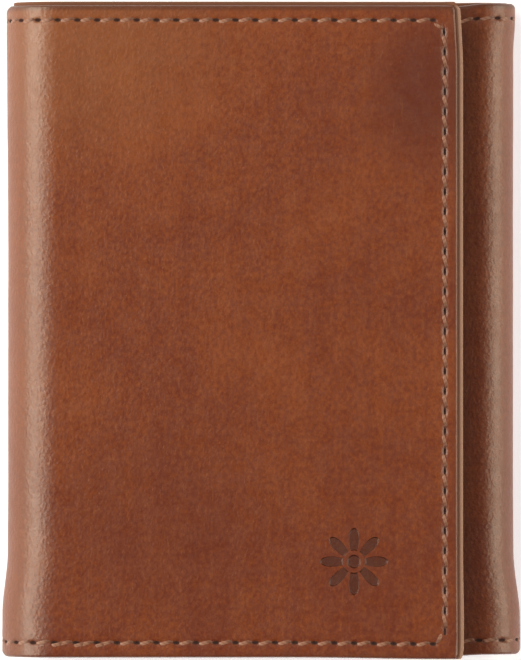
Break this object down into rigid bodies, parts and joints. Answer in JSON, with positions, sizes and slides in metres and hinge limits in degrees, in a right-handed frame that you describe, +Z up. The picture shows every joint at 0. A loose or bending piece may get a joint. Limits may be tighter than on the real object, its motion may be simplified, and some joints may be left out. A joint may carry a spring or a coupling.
{
  "type": "trifold wallet",
  "caption": "Leather trifold wallet, closed and lying on its back: a stitched shell that folds twice, with a bill compartment, card pockets and an identity window inside.",
  "frame": {"origin": "middle of the face that the closed wallet lies on, under the middle of its outline", "axes": "+X from the left fold to the right fold, +Y to the top edge, +Z up out of the front flap"},
  "size_m": [0.082, 0.106, 0.019],
  "materials": {
    "cover_leather": "cognac full-grain leather, soft satin",
    "inner_leather": "thin skived leather, matte",
    "lining_cloth": "dark brown twill",
    "thread": "waxed tan sewing thread",
    "window_film": "clear flexible film"
  },
  "bodies": {
    "back": {"back_cover": "cover_leather", "back_lining": "lining_cloth", "back_panel": "inner_leather", "back_thread_top": "thread", "back_thread_bottom": "thread", "id_window_film": "window_film", "id_window_frame": "inner_leather", "id_window_thread": "thread"},
    "left_spine": {"left_spine_cover": "cover_leather", "left_spine_lining": "lining_cloth", "left_spine_panel": "inner_leather", "left_spine_thread_top": "thread", "left_spine_thread_bottom": "thread"},
    "right_spine": {"right_spine_cover": "cover_leather", "right_spine_lining": "lining_cloth", "right_spine_panel": "inner_leather", "right_spine_thread_top": "thread", "right_spine_thread_bottom": "thread"},
    "front_flap": {"front_flap_cover": "cover_leather", "front_flap_lining": "lining_cloth", "front_flap_panel": "inner_leather", "front_flap_thread": "thread", "front_flap_pocket_1": "inner_leather", "front_flap_pocket_tail_1": "lining_cloth", "front_flap_pocket_2": "inner_leather", "front_flap_pocket_tail_2": "lining_cloth", "front_flap_pocket_3": "inner_leather", "front_flap_inside_thread": "thread"},
    "inner_flap": {"inner_flap_cover": "cover_leather", "inner_flap_lining": "lining_cloth", "inner_flap_panel": "inner_leather", "inner_flap_thread": "thread", "inner_flap_pocket_1": "inner_leather", "inner_flap_pocket_tail_1": "lining_cloth", "inner_flap_pocket_2": "inner_leather", "inner_flap_pocket_tail_2": "lining_cloth", "inner_flap_pocket_3": "inner_leather", "inner_flap_inside_thread": "thread"}
  },
  "joints": [
    {"name": "left_spine_hinge", "type": "hinge", "parent": "back", "child": "left_spine", "pos_m": [-0.03876, 0, 0.00224], "axis": [0, -1, 0], "range_deg": [0, 90]},
    {"name": "front_flap_hinge", "type": "hinge", "parent": "left_spine", "child": "front_flap", "pos_m": [-0.03876, 0, 0.01671], "axis": [0, -1, 0], "range_deg": [0, 90]},
    {"name": "right_spine_hinge", "type": "hinge", "parent": "back", "child": "right_spine", "pos_m": [0.03937, 0, 0.00163], "axis": [0, 1, 0], "range_deg": [0, 35]},
    {"name": "inner_flap_hinge", "type": "hinge", "parent": "right_spine", "child": "inner_flap", "pos_m": [0.03937, 0, 0.00952], "axis": [0, 1, 0], "range_deg": [0, 35]}
  ],
  "couplings": [
    {"joint": "front_flap_hinge", "follows": "left_spine_hinge", "ratio": 1},
    {"joint": "right_spine_hinge", "follows": "left_spine_hinge", "ratio": 0.38},
    {"joint": "inner_flap_hinge", "follows": "left_spine_hinge", "ratio": 0.38}
  ]
}
